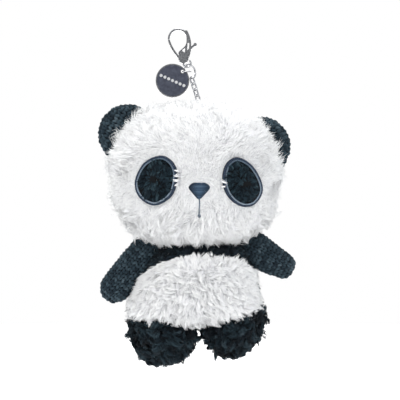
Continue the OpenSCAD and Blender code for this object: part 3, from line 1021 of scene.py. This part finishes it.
def ply(name, line, up, radius, turns_per_mm, material, rng, *replaced, closed=False):
    """A twisted cord on the head along a line of points: two plies wound round each other."""
    plies = 2
    run = run_along(line)
    way = unit(np.gradient(line, axis=0))
    if closed:
        way[0] = way[-1] = unit(line[1] - line[-2])
    side = unit(np.cross(way, up))
    over = np.cross(side, way)
    turns = run * turns_per_mm
    if closed:
        turns = turns * round(turns[-1]) / turns[-1]
    paths = []
    for k in range(plies):
        angle = 2 * math.pi * (turns + k / plies)[:, None]
        paths.append(line + (side * np.cos(angle) + over * np.sin(angle)) * radius * 0.5)
    radii = np.full((plies, len(line)), radius * 0.56)
    cord = tubes(name, np.array(paths), radii, np.repeat(up.mean(axis=0)[None], plies, axis=0), material,
                 rng.random(plies), sides=6, pointed=False)
    declare(cord, "embroidery", *replaced, body="head")


def eye_outline(side, eye, rng):
    """A dark satin ring with a light cord along its inner edge."""
    count = 260
    inner = eye.inset(EYE_BORDER - 0.25, count)
    outer = eye.inset(0.0, count)
    t = np.linspace(0, 1, 5)
    x = inner[:, None, 0] * (1 - t) + outer[:, None, 0] * t
    z = inner[:, None, 1] * (1 - t) + outer[:, None, 1] * t
    arch = np.broadcast_to(np.array([0.3, 1.15, 1.5, 1.2, 0.2]), x.shape)
    points, normals = on_head(x, z, arch)
    radii = np.full(x.shape, 0.2) * rng.uniform(0.85, 1.15, (count, 1))
    ring = tubes(f"eye_{side}_outline", points + rng.normal(0, 0.03, points.shape), radii,
                 normals.mean(axis=1), OUTLINE_DARK, rng.random(count), sides=5, pointed=False)
    declare(ring, "embroidery", f"eye_border_{side}", body="head")
    points, normals = on_head(*eye.loop(EYE_BORDER - 0.1, count), 1.5)
    ply(f"eye_{side}_cord", points, normals, 0.4, 0.55, OUTLINE_LIGHT, rng, closed=True)


def lapping_tufts(name, spots, rng):
    """Tufts of white pile across the edge of an eye. spots are the rows (x, z, way, length)."""
    strands = 16
    paths = []
    up = []
    for x, z, way, length in spots:
        foot = np.array([x, z])
        tip = foot + length * np.array([math.cos(math.radians(way)), math.sin(math.radians(way))])
        for _ in range(strands):
            start = foot + rng.normal(0, 0.45, 2)
            end = tip + rng.normal(0, 0.25, 2)
            t = np.linspace(0, 1, 5)
            line = start + (end - start) * t[:, None] * rng.uniform(0.8, 1.1)
            p, n = on_head(line[:, 0], line[:, 1], 0.3 + 1.9 * np.sin(t * 2.2))
            paths.append(p)
            up.append(n[0])
    paths = np.array(paths)
    radii = 0.15 * (1 - 0.7 * np.linspace(0, 1, 5)) + np.zeros((len(paths), 1))
    tufts = tubes(name, paths, radii, np.array(up), WHITE_PILE, rng.random(len(paths)), soft=0.7)
    declare(tufts, "white_pile", body="head")


def nose_piece(rng):
    """Satin stitches side by side across a padded heart."""
    rise = 1.9
    pad = dome_skin(NOSE, 0.15, lambda reach: 0.1 + (rise - 0.35) * np.sqrt(1 - reach ** 2.6), rings=12,
                    count=60)
    core = pad.piece("nose_pad", [DARK_BACKING])
    declare(core, "embroidery", body="head")
    low = NOSE.line[:, 1].min()
    high = NOSE.line[:, 1].max()
    paths = []
    up = []
    for z in np.arange(low + 0.2, high - 0.05, 0.3):
        xs = np.linspace(NOSE.middle[0] - 7, NOSE.middle[0] + 7, 281)
        inside = xs[NOSE.gap(xs, np.full_like(xs, z)) < 0]
        if len(inside) < 3:
            continue
        t = np.linspace(0, 1, 15)
        x = inside[0] + (inside[-1] - inside[0]) * t
        line_z = z + 0.1 * (t - 0.5) * rng.uniform(-1, 1) + rng.normal(0, 0.02, 15)
        depth = np.clip(-NOSE.gap(x, line_z), 0, 2.6) / 2.6
        p, n = on_head(x, line_z, rise * np.sqrt(1 - (1 - depth) ** 2))
        paths.append(p)
        up.append(n.mean(axis=0))
    paths = np.array(paths)
    radii = np.full(paths.shape[:2], 0.21) * rng.uniform(0.9, 1.15, (len(paths), 1))
    satin = tubes("nose_satin", paths, radii, unit(np.array(up)), NOSE_THREAD, rng.random(len(paths)),
                  sides=6, pointed=False)
    declare(satin, "embroidery", "nose", body="head")
    points, normals = on_head(*NOSE.loop(0.2, 160), 0.55)
    ply("nose_edge", points, normals, 0.34, 0.5, NOSE_THREAD, rng, closed=True)


def mouth_piece(rng):
    """A thread straight down from the nose, with a small coiled knot at its end."""
    z = np.linspace(MOUTH_Z[1], MOUTH_Z[0], 60)
    x = MOUTH_X + 0.12 * np.sin(np.linspace(0, 5, 60))
    points, normals = on_head(x, z, 1.1)
    ply("mouth_stitch_thread", points, normals, 0.38, 0.5, MOUTH_THREAD, rng, "mouth_stitch")
    turn = np.linspace(0, 4 * math.pi, 60)
    coil_x = MOUTH_X + 0.5 * np.cos(turn)
    coil_z = MOUTH_Z[0] - 0.1 + 0.5 * np.sin(turn)
    points, normals = on_head(coil_x, coil_z, 0.9 + turn * 0.04)
    ply("mouth_knot", points, normals, 0.34, 0.5, MOUTH_THREAD, rng)


for number, (side, eye) in enumerate(EYES.items()):
    eye_piece(side, eye, np.random.default_rng(200 + number))
    eye_outline(side, eye, np.random.default_rng(210 + number))
for number, (side, spots) in enumerate(TUFTS.items()):
    lapping_tufts(f"eye_{side}_tufts", spots, np.random.default_rng(230 + number))
nose_piece(np.random.default_rng(220))
mouth_piece(np.random.default_rng(221))


# ---- ears ----

# Centre, way out from the head and pivot of each ear
EARS = {
    "left": ((-26.3, -49.5), (-0.859, 0.512), (-26.84, -49.17)),
    "right": ((43.0, -56.0), (0.9235, 0.3839), (47.49, -54.13)),
}
EAR_R = 14.3
EAR_HALF_T = 4.3
EAR_RIM_R = 3.0
EAR_STITCH = (2.9, 2.3)


def ear_piece(side, centre, way, rng):
    """A padded disc, knitted on its front and back and round its rim."""
    centre3 = in_front_view(centre)
    out = in_front_view(way)
    over = np.array([-way[1], 0, way[0]])
    depth_way = np.array([0, 1.0, 0])
    grid = ball_grid((0, 0, 0), (EAR_R, EAR_HALF_T, EAR_R), 2.15, 41, 72, poles="y")
    turned = grid[..., :1] * over + grid[..., 1:2] * depth_way + grid[..., 2:3] * out
    skin = Skin(centre3 + turned).plump(seam_rows=(20,), most=0.8)
    tree = skin.tree()
    base = skin.piece(f"ear_{side}_base", [DARK_BACKING])
    width, height = EAR_STITCH
    cells = []
    backs = []
    for back in (False, True):
        for b in np.arange(-EAR_R + height, EAR_R - 0.5 * height, height):
            half_row = math.sqrt(max(0.0, (EAR_R - 0.8) ** 2 - b ** 2))
            count = int(2 * half_row / width)
            for k in range(count):
                cells.append(((k - (count - 1) / 2) * width, b, width, height))
                backs.append(back)
    backs = np.array(backs)

    def at(x, z, index):
        reach = np.maximum(np.hypot(x, z) / (EAR_R - 0.25), 1)
        flat = centre3 + (x / reach)[..., None] * over + (z / reach)[..., None] * out
        points = np.empty_like(flat)
        normals = np.empty_like(flat)
        for back in (False, True):
            rows = backs[index] == back
            here = flat[rows]
            points[rows], normals[rows] = on_form(tree, here[..., 0], here[..., 2], back=back)
        return points, normals

    faces = knit_on(f"ear_{side}_knit", at, np.array(cells), rng)
    rim_count = int(2 * math.pi * EAR_R / height)
    rim_cells = []
    for row in (-1, 0, 1):
        for k in range(rim_count):
            along = (k + 0.3 * row) * 2 * math.pi * EAR_R / rim_count
            rim_cells.append((row * width * 0.85, along, width, height))

    def at_rim(x, z, index):
        turn = z / EAR_R
        tilt = x / EAR_RIM_R
        spoke = np.cos(turn)[..., None] * out + np.sin(turn)[..., None] * over
        normal = np.cos(tilt)[..., None] * spoke + np.sin(tilt)[..., None] * depth_way
        point = centre3 + spoke * (EAR_R - EAR_RIM_R) + normal * (EAR_RIM_R - 0.2)
        return point, normal

    rim = knit_on(f"ear_{side}_rim", at_rim, np.array(rim_cells), rng)
    return base, faces, rim


for number, (side, (centre, way, pivot)) in enumerate(EARS.items()):
    pieces = ear_piece(side, centre, way, np.random.default_rng(300 + number))
    declare(pieces[0], "knit", f"ear_skin_{side}", f"ear_padding_{side}", fill=0.6)
    bend(pieces)


# ---- body ----

# Height, left edge, right edge and half depth of the body's levels, top first
TORSO_LEVELS = (
    (-103.5, 6, 20, 3), (-105, -3, 30, 10), (-108, -9.5, 35, 15), (-112, -13, 37.4, 18),
    (-120, -17, 39, 20.5), (-128, -20.4, 40, 21.5), (-135, -23.6, 41, 21.5), (-140, -25.2, 41.4, 20.5),
    (-143.5, -24.6, 39.5, 17.5), (-145.8, -19, 33, 12), (-146.8, -8, 22, 5),
)
# Where the belly's pile parts
FLOW_CENTRE = (9.0, -124.0)
SIDE_SEAM_Y = -1.0
# The belly's arch: middle of its foot, half width and height, and how square it is
BELLY = ((12.0, -151.0), (38.0, 38.0), 2.6)


def belly_gap(p):
    """Above zero inside the arch that tops the white belly, in millimetres or so."""
    (x, z), (half_w, half_h), power = BELLY
    across = np.abs((p[..., 0] - x) / half_w) ** power
    up = np.abs((p[..., 2] - z) / half_h) ** power
    return (1 - (across + up) ** (1 / power)) * half_h


torso = Skin(level_grid(TORSO_LEVELS)).plump(seam_columns=(0, 48), most=1.2)


def white_faces(skin):
    """1 for each face of the belly, 0 for the others."""
    p = skin.at(*skin.cells())
    return ((belly_gap(p) > 0) & (p[:, 1] < SIDE_SEAM_Y)).astype(int)


torso_base = torso.piece("torso_base", [DARK_BACKING, WHITE_BACKING], white_faces(torso))
declare(torso_base, "white_pile", "belly_panel", "chest_band", "back_panel", "body_stuffing",
        body="torso", fill=0.7)


def belly_flow(p):
    """Down and outwards from the middle of the belly, in whorls."""
    rng = np.random.default_rng(21)
    out = away_from(FLOW_CENTRE, p) / 16
    return out + np.array([0, 0, -0.35]) + 0.8 * drift(p, rng, 12) + 0.5 * drift(p, rng, 5)


def dark_flow(p):
    """Down, in whorls."""
    rng = np.random.default_rng(22)
    return np.array([0, 0, -1.0]) + 0.9 * drift(p, rng, 10) + 0.7 * drift(p, rng, 4)


def in_belly(p):
    return (belly_gap(p) > 0.4) & (p[:, 1] < SIDE_SEAM_Y)


def belly_length(p):
    return 4.2 + 1.4 * np.clip(belly_gap(p) / 8, 0, 1)


BELLY_COAT = Pile(WHITE_PILE, "white_pile", width=0.28, steps=2, lift=(62, 40), spread=16, leaders=9,
                  clump=0.5, soft=0.5)
BELLY_LOCKS = Pile(WHITE_PILE, "white_pile", width=0.33, steps=4, lift=(54, 24), spread=12, leaders=17,
                   clump=lambda p: 0.84 - 0.3 * np.clip(1 - belly_gap(p) / 6, 0, 1), curl=0.6, turns=0.7,
                   soft=0.3)
DARK_COAT = Pile(DARK_PILE, "dark_pile", width=0.38, steps=3, lift=(62, 20), spread=14, leaders=9,
                 clump=0.7, curl=0.5, turns=0.9, soft=0.2)
BELLY_COAT.cover("belly_undercoat", torso, 4.6, belly_flow, even(3.4), "torso", 120, in_belly, 0.4)
BELLY_LOCKS.cover("belly_locks", torso, 3.6, belly_flow, belly_length, "torso", 125, in_belly, 0.4)
DARK_COAT.cover("chest_pile", torso, 5.0, dark_flow, even(2.4), "torso", 130,
                lambda p: (belly_gap(p) <= -0.8) & (p[:, 1] < SIDE_SEAM_Y), 0.2)
DARK_COAT.cover("back_pile", torso, 4.2, dark_flow, even(3.4), "torso", 140,
                lambda p: p[:, 1] >= SIDE_SEAM_Y + 0.5, 0.6)


# ---- arms ----

# Shoulder, its radius, hand and its radius
ARMS = {
    "left": ((-14.8, -108.6), 7.6, (-32.8, -129.4), 6.9),
    "right": ((38.4, -109.2), 8.2, (54.0, -117.8), 5.9),
}
ARM_STITCH = (2.6, 2.15)

for number, (side, (root, root_r, tip, tip_r)) in enumerate(ARMS.items()):
    arm = Skin(limb_grid(root, root_r, tip, tip_r, depth=0.95, fatten=0.05))
    arm.plump(seam_columns=(24,), most=0.7)
    rng = np.random.default_rng(400 + number)
    base = arm.piece(f"arm_{side}_base", [DARK_BACKING])
    knit = knit_rings(f"arm_{side}_knit", arm, *ARM_STITCH, rng)
    declare(base, "knit", f"arm_skin_{side}", f"arm_stuffing_{side}", fill=0.8)
    bend((base, knit))


# ---- legs ----

# Height, left edge, right edge and half depth of each leg's levels, top first
LEGS = {
    "left": ((-141, -16.5, 1, 4), (-142.6, -22.8, 7.2, 9), (-148, -23.8, 8, 12.5),
             (-154, -23.4, 7.4, 13.5), (-158.6, -21.6, 5.8, 13), (-162.4, -18.8, 3.4, 11),
             (-165.3, -15.4, 0, 7.5), (-166.8, -11, -4.5, 3)),
    "right": ((-138.6, 25, 38, 4), (-140.2, 18.0, 42, 9), (-146, 14.2, 42.6, 12.5),
              (-151.4, 13.5, 41.6, 13.5), (-155.8, 15.2, 39, 13), (-159.3, 19, 35.6, 11),
              (-162, 22.5, 32, 7), (-163.2, 25, 29, 3)),
}
LEG_TUFTS = Pile(DARK_PILE, "dark_pile", width=0.45, steps=5, lift=(66, 20), spread=14, leaders=20,
                 clump=0.84, curl=1.3, turns=1.1, soft=0.05, taper=0.5, uneven=0.25, lock_tint=0.75)

for number, (side, levels) in enumerate(LEGS.items()):
    leg = Skin(level_grid(levels, 2.1, 36, 64)).plump(seam_columns=(0, 32), most=1.0)
    middle = leg.grid.reshape(-1, 3).mean(axis=0)
    base = leg.piece(f"leg_{side}_base", [DARK_BACKING])

    def leg_flow(p, middle=middle, seed=number):
        rng = np.random.default_rng(30 + seed)
        out = unit(p - middle) + np.array([0, -0.1, -0.5])
        return out + 1.2 * drift(p, rng, 6) + 0.9 * drift(p, rng, 3)

    LEG_TUFTS.cover(f"leg_{side}_pile", leg, 5.0, leg_flow, even(4.5), f"leg_{side}", 500 + number)
    declare(base, "dark_pile", f"leg_skin_{side}", f"leg_stuffing_{side}", body=f"leg_{side}", fill=0.7)


# ---- floor ----

def floor_piece():
    """A pale disc under the object."""
    s = Shade("floor", Roughness=0.9, Base_Color=(0.94, 0.94, 0.94, 1), Emission_Color=(1, 1, 1, 1),
              Emission_Strength=0.25)
    sides = 96
    ring = np.arange(sides)
    turn = 2 * math.pi * ring / sides
    x = VIEW_CENTRE[0] + FLOOR_R * np.cos(turn)
    rim = np.stack([x, FLOOR_R * np.sin(turn), np.full(sides, FLOOR_Z)], axis=1)
    middle = np.array([[VIEW_CENTRE[0], 0, FLOOR_Z]])
    faces = np.stack([np.full(sides, sides), ring, (ring + 1) % sides], axis=1)
    floor = link_mesh("floor", np.concatenate([rim, middle]), faces, [s.material])


floor_piece()
